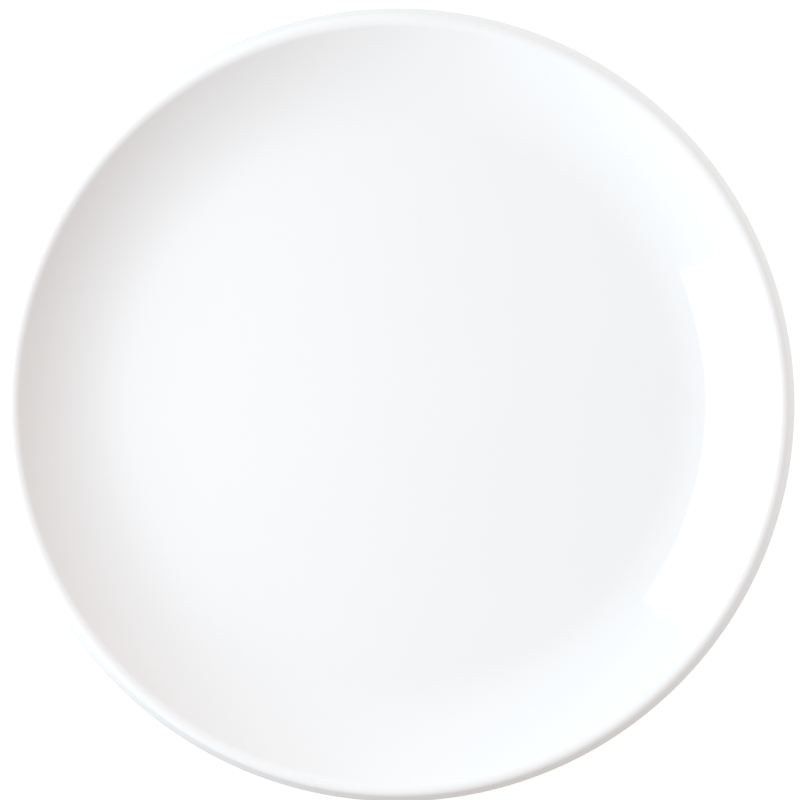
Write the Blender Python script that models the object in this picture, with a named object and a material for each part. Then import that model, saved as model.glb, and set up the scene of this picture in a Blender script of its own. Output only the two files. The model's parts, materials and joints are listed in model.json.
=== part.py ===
"""A white coupe breakfast plate, as the pieces that the kiln leaves: one porcelain body and two glaze skins.

Run it with: blender --background --python part.py

Everything is turned about Z, and the plate stands on the plane Z = 0. The half section of the porcelain
is a chain of arcs and straight runs that meet without a corner, held as points that each know their
outward normal. A glaze skin is that same chain moved out along its normals, so it keeps one thickness
over the well, the wall and the lip, and follows every change that is made to the porcelain.
"""

from math import atan, cos, pi, radians, sin

import bmesh
import bpy
from mathutils import Vector

# The finished plate in metres, measured over the glaze
PLATE_DIAMETER = 0.220
WELL_DEPTH = 0.0135  # from the top of the lip down to the flat floor of the well
WALL_WIDTH = 0.033  # seen from above, from the edge of the flat floor to the rim
LIP_THICKNESS = 0.006
FLOOR_THICKNESS = 0.0055

# The foot ring
FOOT_HEIGHT = 0.0044  # from the table up to the glazed underside
FOOT_SETBACK = 0.005  # level underside left between the start of the wall and the root of the foot
BEARING_WIDTH = 0.0025  # the flat that stands on the table
FOOT_DRAFT = radians(25)  # lean of the foot's flanks
ROOT_FILLET = 0.0015  # hollow round, over the glaze, where the foot grows out of the underside
EDGE_ROUND = 0.0006  # polished edge of the bearing flat

# The glaze
GLAZE_THICKNESS = 0.0003
GLAZE_GAP = 0.0003  # clearance that keeps a skin and the porcelain two separate solids
BARE_FLANK = 0.0005  # wiped stretch of each flank, above the polished edge

# Facets
TURN_STEPS = 64
WALL_STEPS = 7
LIP_STEPS = 8
FILLET_STEPS = 3
EDGE_STEPS = 2
ROLL_STEPS = 4
SHARP_ANGLE = radians(50)
WELD_DISTANCE = 1e-6

# Finishes: base colour, roughness
PORCELAIN_FINISH = ((0.83, 0.80, 0.75, 1.0), 0.65)
GLAZE_FINISH = ((0.90, 0.905, 0.91, 1.0), 0.08)

# Directions of outward normals in the half section, as angles from the +R axis
UP = pi / 2
DOWN = -pi / 2

# Derived sizes of the porcelain under its glaze
SKIN = GLAZE_GAP + GLAZE_THICKNESS
WELL_RADIUS = PLATE_DIAMETER / 2 - WALL_WIDTH
UNDERSIDE_Z = FOOT_HEIGHT + SKIN
FLOOR_Z = FOOT_HEIGHT + FLOOR_THICKNESS - SKIN
LIP_RADIUS = LIP_THICKNESS / 2 - SKIN
LIP_CENTRE = Vector((
    PLATE_DIAMETER / 2 - LIP_THICKNESS / 2,
    FOOT_HEIGHT + FLOOR_THICKNESS + WELL_DEPTH - LIP_THICKNESS / 2,
))


def direction(angle):
    return Vector((cos(angle), sin(angle)))


def arc(centre, radius, start, end, steps, hollow=False):
    """A round stretch of the section, from one normal direction to another, as (point, normal) pairs.

    On a hollow stretch the porcelain lies outside the arc, so its normals point at the centre.
    """
    side = -1 if hollow else 1
    normals = [direction(start + (end - start) * step / steps) for step in range(steps + 1)]
    return [(centre + normal * radius * side, normal) for normal in normals]


def rise_angle(rise, run):
    """How far an arc turns that leaves the level and climbs by rise over run."""
    return 2 * atan(rise / run)


def wall_and_lip():
    """Floor, inner wall, lip and back, from the axis on top to the start of the level underside.

    Both walls leave the level at the edge of the well and run into the round of the lip. A wall and the
    lip share a tangent when the line through their centres passes through the point where they meet.
    """
    run = LIP_CENTRE.x - WELL_RADIUS
    inner_turn = rise_angle(LIP_CENTRE.y + LIP_RADIUS - FLOOR_Z, run)
    inner_radius = run / sin(inner_turn) - LIP_RADIUS
    back_turn = rise_angle(LIP_CENTRE.y - LIP_RADIUS - UNDERSIDE_Z, run)
    back_radius = run / sin(back_turn) + LIP_RADIUS

    floor = [(Vector((0, FLOOR_Z)), direction(UP))]
    inner_centre = Vector((WELL_RADIUS, FLOOR_Z + inner_radius))
    inner = arc(inner_centre, inner_radius, UP, UP + inner_turn, WALL_STEPS, hollow=True)
    lip = arc(LIP_CENTRE, LIP_RADIUS, UP + inner_turn, DOWN + back_turn, LIP_STEPS)
    back_centre = Vector((WELL_RADIUS, UNDERSIDE_Z + back_radius))
    back = arc(back_centre, back_radius, DOWN + back_turn, DOWN, WALL_STEPS)
    return floor + inner + lip[1:] + back[1:]


def foot_side():
    """Outer side of the foot ring: the root fillet, the place where the glaze stops, and the bearing edge."""
    fillet_radius = ROOT_FILLET + SKIN
    rounds = fillet_radius + EDGE_ROUND
    flank_length = (UNDERSIDE_Z - rounds * (1 - sin(FOOT_DRAFT))) / cos(FOOT_DRAFT)
    root_radius = WELL_RADIUS - FOOT_SETBACK
    edge_radius = root_radius - rounds * cos(FOOT_DRAFT) - flank_length * sin(FOOT_DRAFT)

    root_centre = Vector((root_radius, UNDERSIDE_Z - fillet_radius))
    root = arc(root_centre, fillet_radius, DOWN, -FOOT_DRAFT, FILLET_STEPS, hollow=True)
    edge = arc(Vector((edge_radius, EDGE_ROUND)), EDGE_ROUND, -FOOT_DRAFT, DOWN, EDGE_STEPS)
    flank_foot, flank_normal = edge[0]
    up_the_flank = (root[-1][0] - flank_foot).normalized()
    glaze_stop = (flank_foot + up_the_flank * BARE_FLANK, flank_normal)
    return root, glaze_stop, edge


def mirrored(path, middle):
    """The same path on the other side of the foot ring, reflected about the ring's middle radius."""
    return [
        (Vector((2 * middle - point.x, point.y)), Vector((-normal.x, normal.y)))
        for point, normal in path
    ]


def moved_out(path, distance):
    return [point + normal * distance for point, normal in path]


def glaze_section(path):
    """Half section of a skin along a path that starts on the axis and ends where the glaze was wiped off.

    Melted glaze draws back into a rounded edge there, as a half round of the skin's own thickness.
    """
    stop, normal = path[-1]
    along = (stop - path[-2][0]).normalized()
    roll_radius = GLAZE_THICKNESS / 2
    roll_centre = stop + normal * (GLAZE_GAP + roll_radius)
    turns = [pi * step / ROLL_STEPS for step in range(1, ROLL_STEPS)]
    roll = [roll_centre + (normal * cos(turn) + along * sin(turn)) * roll_radius for turn in turns]
    outer = moved_out(path, SKIN)
    inner = moved_out(path, GLAZE_GAP)
    return outer + roll + inner[::-1]


def finish(name, colour, roughness):
    material = bpy.data.materials.new(name)
    material.use_nodes = True
    shader = material.node_tree.nodes["Principled BSDF"]
    shader.inputs["Base Color"].default_value = colour
    shader.inputs["Roughness"].default_value = roughness
    shader.inputs["Metallic"].default_value = 0.0
    material.diffuse_color = colour
    return material


def turned(name, section, material, parent):
    """A solid of revolution from a half section whose two ends lie on the axis."""
    shape = bmesh.new()
    corners = [shape.verts.new((point.x, 0, point.y)) for point in section]
    sides = [shape.edges.new(pair) for pair in zip(corners, corners[1:])]
    bmesh.ops.spin(
        shape,
        geom=corners + sides,
        cent=(0, 0, 0),
        axis=(0, 0, 1),
        angle=2 * pi,
        steps=TURN_STEPS,
        use_merge=True,
    )
    bmesh.ops.remove_doubles(shape, verts=shape.verts, dist=WELD_DISTANCE)
    bmesh.ops.recalc_face_normals(shape, faces=shape.faces)
    mesh = bpy.data.meshes.new(name)
    shape.to_mesh(mesh)
    shape.free()
    mesh.shade_smooth()
    mesh.set_sharp_from_angle(angle=SHARP_ANGLE)
    mesh.materials.append(material)
    piece = bpy.data.objects.new(name, mesh)
    piece.parent = parent
    bpy.context.scene.collection.objects.link(piece)


def build():
    for leftover in list(bpy.data.objects):
        bpy.data.objects.remove(leftover)
    plate = bpy.data.objects.new("breakfast_plate", None)
    bpy.context.scene.collection.objects.link(plate)

    upper = wall_and_lip()
    root, glaze_stop, edge = foot_side()
    middle = edge[-1][0].x - BEARING_WIDTH / 2
    inner_foot = mirrored(root + edge, middle)
    recess = [(Vector((0, UNDERSIDE_Z)), direction(DOWN))]

    body_path = upper + root + edge + inner_foot[::-1] + recess
    coat_path = upper + root + [glaze_stop]
    base_path = recess + mirrored(root + [glaze_stop], middle)

    porcelain = finish("bare_porcelain", *PORCELAIN_FINISH)
    turned("porcelain_body", moved_out(body_path, 0), porcelain, plate)
    turned("glaze_coat", glaze_section(coat_path), finish("clear_white_glaze", *GLAZE_FINISH), plate)
    turned("base_glaze", glaze_section(base_path), finish("base_white_glaze", *GLAZE_FINISH), plate)


build()
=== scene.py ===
# %% [markdown]
# # Dressing a white coupe breakfast plate
#
# The plate is one fired piece of porcelain under a glossy clear glaze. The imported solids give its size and
# its pieces. This lesson turns them into fine, smooth surfaces, gives each its finish, lights them with one
# tall cool window in a warm white room, and looks straight down on them.

import json
from math import atan, atan2, cos, degrees, hypot, pi, radians, sin, tan

import bmesh
import bpy
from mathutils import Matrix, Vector


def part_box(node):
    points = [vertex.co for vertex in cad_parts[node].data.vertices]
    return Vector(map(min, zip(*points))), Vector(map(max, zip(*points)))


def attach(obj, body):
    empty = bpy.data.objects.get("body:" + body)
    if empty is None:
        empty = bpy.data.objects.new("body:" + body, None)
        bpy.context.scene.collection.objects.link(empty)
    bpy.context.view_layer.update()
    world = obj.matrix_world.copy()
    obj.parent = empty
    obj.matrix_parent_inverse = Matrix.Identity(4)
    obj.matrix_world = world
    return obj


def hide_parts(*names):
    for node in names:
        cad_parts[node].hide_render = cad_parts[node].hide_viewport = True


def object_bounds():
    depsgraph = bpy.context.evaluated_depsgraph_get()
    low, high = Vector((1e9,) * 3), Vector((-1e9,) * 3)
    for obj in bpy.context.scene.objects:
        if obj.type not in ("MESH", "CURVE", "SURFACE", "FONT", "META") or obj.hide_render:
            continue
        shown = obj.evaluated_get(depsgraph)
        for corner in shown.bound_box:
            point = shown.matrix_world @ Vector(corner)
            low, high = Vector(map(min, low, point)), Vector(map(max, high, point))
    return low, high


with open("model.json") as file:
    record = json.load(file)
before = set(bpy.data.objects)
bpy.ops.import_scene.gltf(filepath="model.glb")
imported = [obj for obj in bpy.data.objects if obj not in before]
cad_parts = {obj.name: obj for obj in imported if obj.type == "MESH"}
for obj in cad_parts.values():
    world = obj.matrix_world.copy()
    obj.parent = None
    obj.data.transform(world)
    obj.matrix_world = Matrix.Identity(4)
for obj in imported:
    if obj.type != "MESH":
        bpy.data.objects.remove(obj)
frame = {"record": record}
cad_low, cad_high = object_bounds()
print("packed plate, mm:", [round(side * 1000, 2) for side in cad_high - cad_low])

# %% [markdown]
# ## The sizes that the section is drawn from
#
# A plate is turned, so one half section holds its whole shape. The outer sizes are read from the packed
# solids, so that this plate can't drift from them. The few sizes that a box can't tell, such as the
# thickness of the lip, are written here once.

# %% Sizes of the section
mounts = {mount["name"]: mount for mount in frame["record"]["mounts"]}
PLATE_RADIUS = (cad_high.x - cad_low.x) / 2
PLATE_HEIGHT = cad_high.z
FLOOR_HEIGHT = mounts["well_floor"]["pos_m"][2]
WALL_WIDTH = 0.033
WELL_RADIUS = PLATE_RADIUS - WALL_WIDTH
LIP_RADIUS = 0.003
FOOT_HEIGHT = 0.0044
FOOT_SETBACK = 0.005
FOOT_DRAFT = radians(25)
ROOT_FILLET = 0.0015

print("well radius, mm:", round(WELL_RADIUS * 1000, 2))
print("height of the well's floor, mm:", round(FLOOR_HEIGHT * 1000, 2))

# %% [markdown]
# ## Drawing a section with two strokes
#
# The section could be typed in as a list of points, but a potter thinks in strokes: a straight run, or a
# turn about a centre. Blender has an operator for each. Extruding one vertex draws a run, and spinning one
# vertex about a point of the section plane draws an arc. A chain of such strokes, each starting where the
# last one ended and heading the same way, has no corner anywhere.

# %% The two strokes
def start_at(section, r, z):
    """Start a line at a radius and a height."""
    return bmesh.ops.create_vert(section, co=(r, 0, z))["vert"][0]


def run_to(section, tip, r, z):
    """Draw a straight run, and give back its end."""
    tip = bmesh.ops.extrude_vert_indiv(section, verts=[tip])["verts"][0]
    tip.co = (r, 0, z)
    return tip


def turn_about(section, tip, r, z, angle, steps):
    """Draw an arc about a centre, and give back its end."""
    made = bmesh.ops.spin(section, geom=[tip], cent=(r, 0, z), axis=(0, -1, 0), angle=angle, steps=steps)
    return made["geom_last"][0]


trial = bmesh.new()
tip = turn_about(trial, start_at(trial, 1, 0), 0, 0, pi / 2, 8)
print("a quarter turn from +R ends at", [round(x, 3) for x in tip.co], "with", len(trial.edges), "edges")
trial.free()

# %% [markdown]
# ## The centres that the wall, the lip and the back turn about
#
# A metal former rolls this line into the soft clay of the real plate: a flat well, a wall that leaves the
# well like a ski slope, a round lip, and a back that follows the wall down to the foot ring. The wall and
# the lip meet without a corner when the line through their two centres passes through the meeting point,
# and that settles every radius below. Arcs about one centre also stay parallel, so these same centres serve
# the glaze and the porcelain that lies a little deeper.

# %% Centres and turns
def climbing_turn(rise, run):
    """How far an arc turns that leaves the level and climbs by rise over run."""
    return 2 * atan(rise / run)


LIP_CENTRE = (PLATE_RADIUS - LIP_RADIUS, PLATE_HEIGHT - LIP_RADIUS)
wall_run = LIP_CENTRE[0] - WELL_RADIUS
WALL_TURN = climbing_turn(PLATE_HEIGHT - FLOOR_HEIGHT, wall_run)
WALL_CENTRE = (WELL_RADIUS, FLOOR_HEIGHT + wall_run / sin(WALL_TURN) - LIP_RADIUS)
BACK_TURN = climbing_turn(PLATE_HEIGHT - 2 * LIP_RADIUS - FOOT_HEIGHT, wall_run)
BACK_CENTRE = (WELL_RADIUS, FOOT_HEIGHT + wall_run / sin(BACK_TURN) + LIP_RADIUS)
ROOT_CENTRE = (WELL_RADIUS - FOOT_SETBACK, FOOT_HEIGHT - ROOT_FILLET)
ROOT_TURN = pi / 2 - FOOT_DRAFT

print("the wall climbs to", round(degrees(WALL_TURN), 1), "degrees")
print("the back climbs to", round(degrees(BACK_TURN), 1), "degrees")

# %% [markdown]
# ## The fettled shoulder of the lip
#
# Pressing leaves a seam along the outer shoulder of the lip. A blade and a wet sponge take it off before the
# plate is fired, and leave a narrow facet that leans outwards, with soft edges. From above it is the grey
# line along the side that faces away from the light. A bevel on the turned shape would give a facet too, but
# a straight run between two smaller turns keeps the section one chain.

# %% The facet on the shoulder
FACET_LEAN = radians(52)
OUTER_ROUND = 0.001
LIP_STEPS = 10

# One straight run touches both rounds only if the shoulder's is this much tighter than the lip's
tighter = (LIP_RADIUS - OUTER_ROUND) * (1 - sin(FACET_LEAN)) / (1 - cos(FACET_LEAN))
SHOULDER_ROUND = LIP_RADIUS - tighter
SHOULDER_CENTRE = (LIP_CENTRE[0], PLATE_HEIGHT - SHOULDER_ROUND)
OUTER_CENTRE = (PLATE_RADIUS - OUTER_ROUND, LIP_CENTRE[1])


def draw_fettled_shoulder(section, tip, depth):
    """Draw from the crest of the lip to its outermost point, at a depth under the glazed surface."""
    tip = turn_about(section, tip, *SHOULDER_CENTRE, -FACET_LEAN, LIP_STEPS)
    reach = OUTER_ROUND - depth
    facet_end = (OUTER_CENTRE[0] + reach * sin(FACET_LEAN), OUTER_CENTRE[1] + reach * cos(FACET_LEAN))
    tip = run_to(section, tip, *facet_end)
    return turn_about(section, tip, *OUTER_CENTRE, FACET_LEAN - pi / 2, LIP_STEPS)


facet_run = OUTER_CENTRE[0] - SHOULDER_CENTRE[0]
facet_drop = SHOULDER_CENTRE[1] - OUTER_CENTRE[1]
facet_width = facet_run * cos(FACET_LEAN) + facet_drop * sin(FACET_LEAN)
print("the facet is", round(facet_width * 1000, 2), "mm wide")

# %% The strokes from the middle of the well round to the foot
FLOOR_RINGS = 8
WALL_STEPS = 24
ROOT_STEPS = 8


def draw_face_and_back(section, depth):
    """Draw the plate's outside at a depth under the glazed surface, and give back the tip of the line."""
    tip = start_at(section, 0, FLOOR_HEIGHT - depth)
    for ring in range(1, FLOOR_RINGS + 1):
        tip = run_to(section, tip, WELL_RADIUS * ring / FLOOR_RINGS, FLOOR_HEIGHT - depth)
    tip = turn_about(section, tip, *WALL_CENTRE, WALL_TURN, WALL_STEPS)
    tip = turn_about(section, tip, *LIP_CENTRE, -WALL_TURN, LIP_STEPS)
    tip = draw_fettled_shoulder(section, tip, depth)
    tip = turn_about(section, tip, *LIP_CENTRE, BACK_TURN - pi / 2, LIP_STEPS)
    tip = turn_about(section, tip, *BACK_CENTRE, -BACK_TURN, WALL_STEPS)
    tip = run_to(section, tip, ROOT_CENTRE[0], FOOT_HEIGHT + depth)
    return turn_about(section, tip, *ROOT_CENTRE, ROOT_TURN, ROOT_STEPS)


trial = bmesh.new()
tip = draw_face_and_back(trial, 0)
print("the line has", len(trial.edges), "edges and ends", round(tip.co.z * 1000, 2), "mm above the table")
trial.free()

# %% [markdown]
# ## From a section to a piece
#
# On the real machine the clay turns under the former. Blender's Screw modifier would do the same and stay
# editable, but the pieces of a library are plain meshes, so the spin operator is used once and its seam is
# welded. Last, the rim is let down by a quarter of a millimetre on two sides and up on the other two: the
# foot stands on the kiln shelf, but the overhanging wall softens in the fire and is never quite level after.

# %% Turn and warp a section
TURN_STEPS = 240
WELD_DISTANCE = 1e-7
WARP_HEIGHT = 0.00025
WARP_ANGLE = radians(35)


def turn_section(section):
    """Turn a section once round the plate's axis and weld its seam."""
    bmesh.ops.spin(
        section, geom=section.verts[:] + section.edges[:], cent=(0, 0, 0), axis=(0, 0, 1),
        angle=2 * pi, steps=TURN_STEPS, use_merge=True,
    )
    bmesh.ops.remove_doubles(section, verts=section.verts, dist=WELD_DISTANCE)
    bmesh.ops.recalc_face_normals(section, faces=section.faces)


def warp(shape):
    """Lift the rim on two opposite sides and lower it between them, the more the further out."""
    for corner in shape.verts:
        reach = max(0, (hypot(corner.co.x, corner.co.y) - WELL_RADIUS) / WALL_WIDTH)
        around = atan2(corner.co.y, corner.co.x)
        corner.co.z += WARP_HEIGHT * reach ** 2 * cos(2 * (around - WARP_ANGLE))


trial = bmesh.new()
run_to(trial, start_at(trial, WELL_RADIUS, 0), PLATE_RADIUS, 0)
turn_section(trial)
warp(trial)
heights = [corner.co.z for corner in trial.verts]
print("a flat ring comes out", round((max(heights) - min(heights)) * 1000, 2), "mm out of level")
trial.free()


# %% Hand a finished piece over
def hand_over(shape, name, material, node):
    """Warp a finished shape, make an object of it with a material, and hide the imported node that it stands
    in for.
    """
    warp(shape)
    mesh = bpy.data.meshes.new(name)
    shape.to_mesh(mesh)
    shape.free()
    mesh.shade_smooth()
    mesh.materials.append(material)
    piece = bpy.data.objects.new(name, mesh)
    bpy.context.scene.collection.objects.link(piece)
    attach(piece, "root")
    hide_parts(node)
    print(name, "has", len(mesh.polygons), "faces in the place of", node)


# %% [markdown]
# ## The finish of the glaze
#
# A clear glaze over white porcelain looks white, but never like white paint. It is a little thicker here and
# thinner there, which clouds its tone by a percent or so over a few centimetres. Its gloss changes a little
# too, every few millimetres. And it sets with a faint ripple, only hundredths of a millimetre high, that
# makes a reflected window edge swim. Three noise textures give the three effects. They are kept in one node
# group, because the patch of glaze under the plate needs the same effects with other numbers.

# %% A helper that adds a node
def add_node(tree, kind, inputs=None, **settings):
    """Add a shader node; an input is either a value or the socket that feeds it."""
    node = tree.nodes.new("ShaderNode" + kind)
    for name, value in settings.items():
        setattr(node, name, value)
    for name, value in (inputs or {}).items():
        if isinstance(value, bpy.types.NodeSocket):
            tree.links.new(value, node.inputs[name])
        else:
            node.inputs[name].default_value = value
    return node


trial = bpy.data.node_groups.new("trial", "ShaderNodeTree")
place = add_node(trial, "TexCoord").outputs["Object"]
add_node(trial, "TexNoise", {"Vector": place})
print("a trial of two calls made", len(trial.nodes), "nodes and", len(trial.links), "link")
bpy.data.node_groups.remove(trial)

# %% The sockets of the glaze group
glaze_effects = bpy.data.node_groups.new("glaze_effects", "ShaderNodeTree")
for name in ("Thick Tone", "Thin Tone"):
    glaze_effects.interface.new_socket(name, in_out="INPUT", socket_type="NodeSocketColor")
for name in ("Smoothest", "Roughest"):
    glaze_effects.interface.new_socket(name, in_out="INPUT", socket_type="NodeSocketFloat")
glaze_effects.interface.new_socket("Color", in_out="OUTPUT", socket_type="NodeSocketColor")
for name in ("Roughness", "Height"):
    glaze_effects.interface.new_socket(name, in_out="OUTPUT", socket_type="NodeSocketFloat")
given = glaze_effects.nodes.new("NodeGroupInput")
result = glaze_effects.nodes.new("NodeGroupOutput")
print("glaze group takes", len(given.outputs) - 1, "values and gives", len(result.inputs) - 1)

# %% The three effects of the glaze
CLOUDS = {"Scale": 28, "Detail": 1.0}
GLOSS_PATCHES = {"Scale": 220, "Detail": 2.0}
RIPPLES = {"Scale": 120, "Detail": 0.5}
PATCH_LOW, PATCH_HIGH = 0.3, 0.7
# A Mix node has three sockets of each name, so those for colours are picked by their place
MIX_FIRST, MIX_SECOND, MIXED = 6, 7, 2

place = add_node(glaze_effects, "TexCoord").outputs["Object"]
clouds = add_node(glaze_effects, "TexNoise", {"Vector": place, **CLOUDS})
patches = add_node(glaze_effects, "TexNoise", {"Vector": place, **GLOSS_PATCHES})
ripples = add_node(glaze_effects, "TexNoise", {"Vector": place, **RIPPLES})
tone = add_node(glaze_effects, "Mix", {
    "Factor": clouds.outputs["Fac"],
    MIX_FIRST: given.outputs["Thick Tone"],
    MIX_SECOND: given.outputs["Thin Tone"],
}, data_type="RGBA")
gloss = add_node(glaze_effects, "MapRange", {
    "Value": patches.outputs["Fac"], "From Min": PATCH_LOW, "From Max": PATCH_HIGH,
    "To Min": given.outputs["Smoothest"], "To Max": given.outputs["Roughest"],
})
glaze_effects.links.new(tone.outputs[MIXED], result.inputs["Color"])
glaze_effects.links.new(gloss.outputs["Result"], result.inputs["Roughness"])
glaze_effects.links.new(ripples.outputs["Fac"], result.inputs["Height"])
print("glaze group:", len(glaze_effects.nodes), "nodes,", len(glaze_effects.links), "links")

# %% The two glaze materials
RIPPLE_HEIGHT = 0.00002
GLAZE_IOR = 1.52
FACE_GLAZE = {
    "Thick Tone": (0.865, 0.867, 0.868, 1), "Thin Tone": (0.858, 0.856, 0.852, 1),
    "Smoothest": 0.05, "Roughest": 0.09,
}
FOOT_GLAZE = {
    "Thick Tone": (0.85, 0.853, 0.856, 1), "Thin Tone": (0.835, 0.832, 0.826, 1),
    "Smoothest": 0.08, "Roughest": 0.16,
}


def glaze_material(name, values):
    """A clear gloss over white, fed by the glaze group with these values."""
    material = bpy.data.materials.new(name)
    material.use_nodes = True
    tree = material.node_tree
    shader = tree.nodes["Principled BSDF"]
    shader.inputs["IOR"].default_value = GLAZE_IOR
    effects = add_node(tree, "Group", node_tree=glaze_effects)
    for socket, value in values.items():
        effects.inputs[socket].default_value = value
    bump = add_node(tree, "Bump", {"Height": effects.outputs["Height"], "Distance": RIPPLE_HEIGHT})
    tree.links.new(effects.outputs["Color"], shader.inputs["Base Color"])
    tree.links.new(effects.outputs["Roughness"], shader.inputs["Roughness"])
    tree.links.new(bump.outputs["Normal"], shader.inputs["Normal"])
    return material


white_glaze = glaze_material("white_glaze", FACE_GLAZE)
base_glaze = glaze_material("base_white_glaze", FOOT_GLAZE)
print("made", white_glaze.name, "and", base_glaze.name)

# %% [markdown]
# ## The glaze over the face and the back
#
# This is all that the photograph shows. Dipped glaze is a skin of one thickness, so the surface is drawn and
# turned first and then made solid inwards. Where the foot was wiped clean, the melted glaze draws itself back
# into a round edge: the bevel operator rounds the two rims that solidify leaves there.

# %% A helper that gives a turned surface its thickness
GLAZE_THICKNESS = 0.0006
RIM_ANGLE = radians(60)
ROLL_ROUND = 0.00025
ROLL_STEPS = 3


def make_skin(shape):
    """Grow a turned surface inwards by the glaze's thickness, and round its rims."""
    bmesh.ops.solidify(shape, geom=shape.faces[:], thickness=GLAZE_THICKNESS)
    rims = [edge for edge in shape.edges if edge.calc_face_angle() > RIM_ANGLE]
    bmesh.ops.bevel(
        shape, geom=rims, offset=ROLL_ROUND, offset_type="OFFSET", affect="EDGES",
        segments=ROLL_STEPS, profile=0.5, material=-1,
    )
    print("rounded", len(rims), "rim edges")


# %% Glaze coat
GLAZE_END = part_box("glaze_coat")[0].z


def run_along_flank(section, tip, z, side):
    """Run along a leaning flank of the foot to a height; side is 1 on the outer flank and -1 on the inner."""
    return run_to(section, tip, tip.co.x + side * (z - tip.co.z) * tan(FOOT_DRAFT), z)


coat = bmesh.new()
tip = draw_face_and_back(coat, 0)
run_along_flank(coat, tip, GLAZE_END, 1)
turn_section(coat)
make_skin(coat)
hand_over(coat, "glazed_face_and_back", white_glaze, "glaze_coat")

# %% [markdown]
# ## The finish of the bare porcelain
#
# Fired porcelain that was wiped free of glaze is a matt, slightly warm white with a fine sandy grain, because
# its particles are fused but not melted. The potter grinds the standing ring flat on a turning wheel, which
# leaves hair-thin rings in it. A noise texture gives the grain. A second one, fed with the distance from the
# plate's axis alone, gives the rings, so that they run round the foot wherever the ring is cut.

# %% Grain and rings of the bare porcelain
GRAIN = {"Scale": 2500, "Detail": 3.0}
GRAIN_HEIGHT = 0.00001
GROUND_RINGS = {"Scale": 4000, "Detail": 2.0}
GROUND_RING_HEIGHT = 0.00002

bare_porcelain = bpy.data.materials.new("bare_porcelain")
bare_porcelain.use_nodes = True
tree = bare_porcelain.node_tree
place = add_node(tree, "TexCoord").outputs["Object"]
grain = add_node(tree, "TexNoise", {"Vector": place, **GRAIN})
flat_place = add_node(tree, "VectorMath", {0: place, 1: (1, 1, 0)}, operation="MULTIPLY")
from_axis = add_node(tree, "VectorMath", {0: flat_place.outputs["Vector"]}, operation="LENGTH")
ground_rings = add_node(tree, "TexNoise", {
    "W": from_axis.outputs["Value"], **GROUND_RINGS,
}, noise_dimensions="1D")
rings_bump = add_node(tree, "Bump", {"Height": ground_rings.outputs["Fac"], "Distance": GROUND_RING_HEIGHT})
grain_bump = add_node(tree, "Bump", {
    "Height": grain.outputs["Fac"], "Distance": GRAIN_HEIGHT, "Normal": rings_bump.outputs["Normal"],
})
print("bare porcelain:", len(tree.nodes), "nodes so far")

# %% Tone and roughness of the bare porcelain
PORE_TONE = (0.76, 0.73, 0.67, 1)
BODY_TONE = (0.88, 0.86, 0.82, 1)
POLISHED_ROUGHNESS = 0.5
SANDY_ROUGHNESS = 0.75

shader = tree.nodes["Principled BSDF"]
tone = add_node(tree, "ValToRGB", {"Fac": grain.outputs["Fac"]})
tone.color_ramp.elements[0].color = PORE_TONE
tone.color_ramp.elements[1].color = BODY_TONE
roughness = add_node(tree, "MapRange", {
    "Value": ground_rings.outputs["Fac"], "To Min": POLISHED_ROUGHNESS, "To Max": SANDY_ROUGHNESS,
})
tree.links.new(tone.outputs["Color"], shader.inputs["Base Color"])
tree.links.new(roughness.outputs["Result"], shader.inputs["Roughness"])
tree.links.new(grain_bump.outputs["Normal"], shader.inputs["Normal"])
print("bare porcelain:", len(tree.nodes), "nodes")

# %% [markdown]
# ## The porcelain body
#
# Under the glaze the same strokes run a glaze's thickness deeper. Only the standing ring of the foot stays
# bare. It is ground flat and its edges are polished, so the line runs down the outer flank, round the edge,
# along the standing face and up the other side to the hollow under the plate. The body could be left out
# under the glaze, where nobody sees it, but a plate with a real inside can be cut, weighed and broken.

# %% Porcelain body
BEARING_WIDTH = 0.0025
EDGE_ROUND = 0.0006
EDGE_STEPS = 5
EDGE_TOP = EDGE_ROUND * (1 - sin(FOOT_DRAFT))

body = bmesh.new()
tip = draw_face_and_back(body, GLAZE_THICKNESS)
flank_top = tip.co.z
tip = run_along_flank(body, tip, EDGE_TOP, 1)
bearing_outer = tip.co.x - EDGE_ROUND * cos(FOOT_DRAFT)
bearing_inner = bearing_outer - BEARING_WIDTH
tip = turn_about(body, tip, bearing_outer, EDGE_ROUND, -ROOT_TURN, EDGE_STEPS)
tip = run_to(body, tip, bearing_inner, 0)
tip = turn_about(body, tip, bearing_inner, EDGE_ROUND, -ROOT_TURN, EDGE_STEPS)
tip = run_along_flank(body, tip, flank_top, -1)
INNER_ROOT = (bearing_outer + bearing_inner - ROOT_CENTRE[0], ROOT_CENTRE[1])
tip = turn_about(body, tip, *INNER_ROOT, ROOT_TURN, ROOT_STEPS)
run_to(body, tip, 0, FOOT_HEIGHT + GLAZE_THICKNESS)
turn_section(body)
print("standing ring, mm:", round(bearing_inner * 1000, 2), "to", round(bearing_outer * 1000, 2))
hand_over(body, "porcelain_and_bare_foot", bare_porcelain, "porcelain_body")

# %% [markdown]
# ## The glaze inside the foot ring
#
# The wiped ring leaves a round patch of glaze under the plate. It is an open tray, which has no inside that
# Blender could find, so its faces are turned to look down before the skin grows up into the porcelain.

# %% Base glaze
base = bmesh.new()
tip = start_at(base, 0, FOOT_HEIGHT)
tip = run_to(base, tip, INNER_ROOT[0], FOOT_HEIGHT)
tip = turn_about(base, tip, *INNER_ROOT, -ROOT_TURN, ROOT_STEPS)
run_along_flank(base, tip, GLAZE_END, -1)
turn_section(base)
middle = min(base.faces, key=lambda face: face.calc_center_median().to_2d().length)
if middle.normal.z > 0:
    bmesh.ops.reverse_faces(base, faces=base.faces)
make_skin(base)
hand_over(base, "glazed_patch_in_the_foot", base_glaze, "base_glaze")

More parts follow.
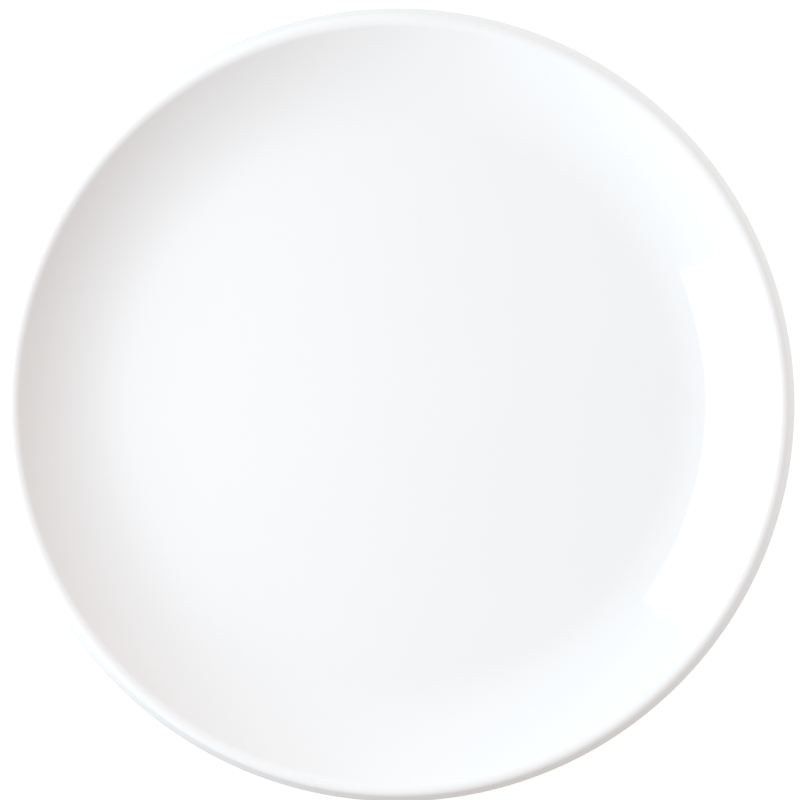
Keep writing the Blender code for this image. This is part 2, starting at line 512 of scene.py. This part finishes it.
# %% [markdown]
# ## The table
#
# The photograph is a cut-out on pure white. A table white enough for that would need so much light that the
# plate would lose its own tones. So the table is a warm grey, whose weak bounce leaves the lower edge of the
# lip dark, and it glows for the camera alone: white around the plate, and greyer further off, where a low
# view sees it.

# %% Table top
TABLE_RADIUS = 6
TABLE_SIDES = 96
TABLE_TONE = (0.17, 0.155, 0.14, 1)
TABLE_ROUGHNESS = 0.9

round_top = bmesh.new()
bmesh.ops.create_circle(round_top, cap_ends=True, segments=TABLE_SIDES, radius=TABLE_RADIUS)
floor_mesh = bpy.data.meshes.new("studio_floor")
round_top.to_mesh(floor_mesh)
round_top.free()
table = bpy.data.materials.new("grey_table")
table.use_nodes = True
tree = table.node_tree
shader = tree.nodes["Principled BSDF"]
shader.inputs["Base Color"].default_value = TABLE_TONE
shader.inputs["Roughness"].default_value = TABLE_ROUGHNESS
floor_mesh.materials.append(table)
floor = bpy.data.objects.new("studio_floor", floor_mesh)
bpy.context.scene.collection.objects.link(floor)
print("table of", TABLE_RADIUS, "m radius")

# %% The glow that the camera sees
POOL_GLOW = 0.9
FAR_GLOW = 0.52
POOL_EDGES = (0.165, 1.6)

# A painted pool of light: for the camera the table glows white around the plate and greyer further off.
place = add_node(tree, "TexCoord").outputs["Object"]
distance = add_node(tree, "VectorMath", {0: place}, operation="LENGTH").outputs["Value"]
pool = add_node(tree, "MapRange", {
    "Value": distance, "From Min": POOL_EDGES[0], "From Max": POOL_EDGES[1],
    "To Min": POOL_GLOW, "To Max": FAR_GLOW,
}, interpolation_type="SMOOTHSTEP")
print("the pool of white fades out from", POOL_EDGES[0], "to", POOL_EDGES[1], "m")

# %% [markdown]
# ## A white card on the table
#
# A photographer lays a white card on the side away from the window. It throws the window's cool light back
# and lifts the dark edge of the lip there. It could be a sheet of its own, but it would show in the picture.
# Here it is a part of the table's glow that every ray sees except the camera's. Under the plate both glows
# fade out with the distance from the plate's axis, and leave a painted shadow that makes a plate stand on its
# table.

# %% The card
CARD_GLOW = 1.12
CARD_AZIMUTH = radians(33)
CARD_FADE = (-0.08, 0.16)


def facing(tree, vector, azimuth):
    """How far a direction or a place reaches towards an azimuth."""
    towards = (cos(azimuth), sin(azimuth), 0)
    return add_node(tree, "VectorMath", {0: vector, 1: towards}, operation="DOT_PRODUCT").outputs["Value"]


card = add_node(tree, "MapRange", {
    "Value": facing(tree, place, CARD_AZIMUTH), "From Min": CARD_FADE[0], "From Max": CARD_FADE[1],
    "To Max": CARD_GLOW,
})
print("the card is brightest towards", round(degrees(CARD_AZIMUTH)), "degrees")

# %% One glow for the camera and one for the plate
CARD_TONE = (0.86, 1.0, 1.03, 1)
POOL_TONE = (1, 1, 1, 1)

to_camera = add_node(tree, "LightPath").outputs["Is Camera Ray"]
glow = add_node(tree, "MapRange", {
    "Value": to_camera, "To Min": card.outputs["Result"], "To Max": pool.outputs["Result"],
})
glow_tone = add_node(tree, "Mix", {
    "Factor": to_camera, MIX_FIRST: CARD_TONE, MIX_SECOND: POOL_TONE,
}, data_type="RGBA")
tree.links.new(glow_tone.outputs[MIXED], shader.inputs["Emission Color"])
print("the table has", len(tree.nodes), "nodes so far")

# %% The shade under the plate
SHADE_RADIUS = 0.062
SHADE_SHARE = 0.25


def calculate(tree, operation, *values):
    """Add a Math node, and give back its value."""
    return add_node(tree, "Math", dict(enumerate(values)), operation=operation).outputs["Value"]


# A painted shadow: both glows are dimmed under the plate by the distance from its axis alone.
shade = add_node(tree, "MapRange", {
    "Value": distance, "From Min": SHADE_RADIUS, "From Max": PLATE_RADIUS, "To Min": SHADE_SHARE,
})
shaded_glow = calculate(tree, "MULTIPLY", glow.outputs["Result"], shade.outputs["Result"])
tree.links.new(shaded_glow, shader.inputs["Emission Strength"])
print("table:", len(tree.nodes), "nodes")

# %% [markdown]
# ## The room
#
# A white room sends a soft, slightly warm light from everywhere. The glossy wall of the plate mirrors it, and
# the tones along that wall tell what it looks like: long and narrow, with two brighter walls that face each
# other, and a little brighter on the side away from the window. An environment picture would hold all that,
# but three smooth terms do too: an even light, one that swings twice a turn, and one that swings once. The
# camera itself sees only a plain pale backdrop.

# %% Light of the room
ROOM_STRENGTH = 0.686
WALL_AZIMUTH = radians(62)
WALL_GAIN = 0.385
SIDE_AZIMUTH = radians(21)
SIDE_GAIN = 0.15

room = bpy.data.worlds.new("white_room")
room.use_nodes = True
tree = room.node_tree
look = add_node(tree, "TexCoord").outputs["Generated"]
along = facing(tree, look, WALL_AZIMUTH)
across = facing(tree, look, WALL_AZIMUTH + pi / 2)
along_squared = calculate(tree, "MULTIPLY", along, along)
across_squared = calculate(tree, "MULTIPLY", across, across)
two_walls = calculate(tree, "SUBTRACT", along_squared, across_squared)
by_wall = calculate(tree, "MULTIPLY_ADD", two_walls, WALL_GAIN, ROOM_STRENGTH)
by_side = calculate(tree, "MULTIPLY_ADD", facing(tree, look, SIDE_AZIMUTH), SIDE_GAIN, by_wall)
print("the room's light has", len(tree.nodes), "nodes so far")

# %% Room and backdrop
ROOM_TONE = (1.08, 1.0, 0.97, 1)
BACKDROP_TONE = (0.708, 0.687, 0.672, 1)

to_camera = add_node(tree, "LightPath").outputs["Is Camera Ray"]
strength = add_node(tree, "MapRange", {"Value": to_camera, "To Min": by_side})
room_tone = add_node(tree, "Mix", {
    "Factor": to_camera, MIX_FIRST: ROOM_TONE, MIX_SECOND: BACKDROP_TONE,
}, data_type="RGBA")
background = tree.nodes["Background"]
tree.links.new(room_tone.outputs[MIXED], background.inputs["Color"])
tree.links.new(strength.outputs["Result"], background.inputs["Strength"])
bpy.context.scene.world = room
print("room:", len(tree.nodes), "nodes")

# %% [markdown]
# ## The window
#
# A tall cool window at the left of the picture does the modelling: the near wall falls into shade, the far
# wall flares up to white, and the near lip catches a bright line. Its place was read from the photograph. Its
# reflection fills the far wall between two clear edges that run straight up and down, as an upright window's
# do, and a glossy wall works as a mirror whose slope is known. A rectangular area light is such a window.

# %% Window
WINDOW_AZIMUTH = radians(173.5)
WINDOW_DISTANCE = 0.45
WINDOW_SIZE = (0.55, 1.21)
WINDOW_SILL = 0.02
WINDOW_POWER = 5.7
WINDOW_TONE = (0.833, 1.0, 1.1)

towards_window = Vector((cos(WINDOW_AZIMUTH), sin(WINDOW_AZIMUTH), 0))
window_light = bpy.data.lights.new("window", "AREA")
window_light.shape = "RECTANGLE"
window_light.size, window_light.size_y = WINDOW_SIZE
window_light.energy = WINDOW_POWER
window_light.color = WINDOW_TONE
window = bpy.data.objects.new("window", window_light)
window.location = towards_window * WINDOW_DISTANCE
window.location.z = WINDOW_SILL + WINDOW_SIZE[1] / 2
window.rotation_euler = towards_window.to_track_quat("Z", "Y").to_euler()
bpy.context.scene.collection.objects.link(window)
print("middle of the window at", [round(x, 2) for x in window.location])

# %% [markdown]
# ## The camera
#
# The photograph looks straight down on the plate. Its outline is a circle with no sign of tilt, so the camera
# only needs a height: far enough off that the wall is seen without stretch, and such that the outline comes
# out as wide as it is in the picture. A small step aside puts the circle where the photographer framed it.

# %% Camera
PICTURE_SIDE = 800
OUTLINE_CENTRE = (398.0, 404.9)
OUTLINE_RADIUS = 396.4
LENS = 150
SENSOR = 36

metres_per_pixel = PLATE_RADIUS / OUTLINE_RADIUS
overhead = bpy.data.cameras.new("overhead")
overhead.lens = LENS
overhead.sensor_width = SENSOR
camera = bpy.data.objects.new("overhead", overhead)
camera.location = (
    (PICTURE_SIDE / 2 - OUTLINE_CENTRE[0]) * metres_per_pixel,
    (OUTLINE_CENTRE[1] - PICTURE_SIDE / 2) * metres_per_pixel,
    LIP_CENTRE[1] + LENS / SENSOR * PICTURE_SIDE * metres_per_pixel,
)
bpy.context.scene.collection.objects.link(camera)
bpy.context.scene.camera = camera
bpy.context.scene.view_settings.view_transform = "Standard"
print("camera at", [round(x, 4) for x in camera.location])
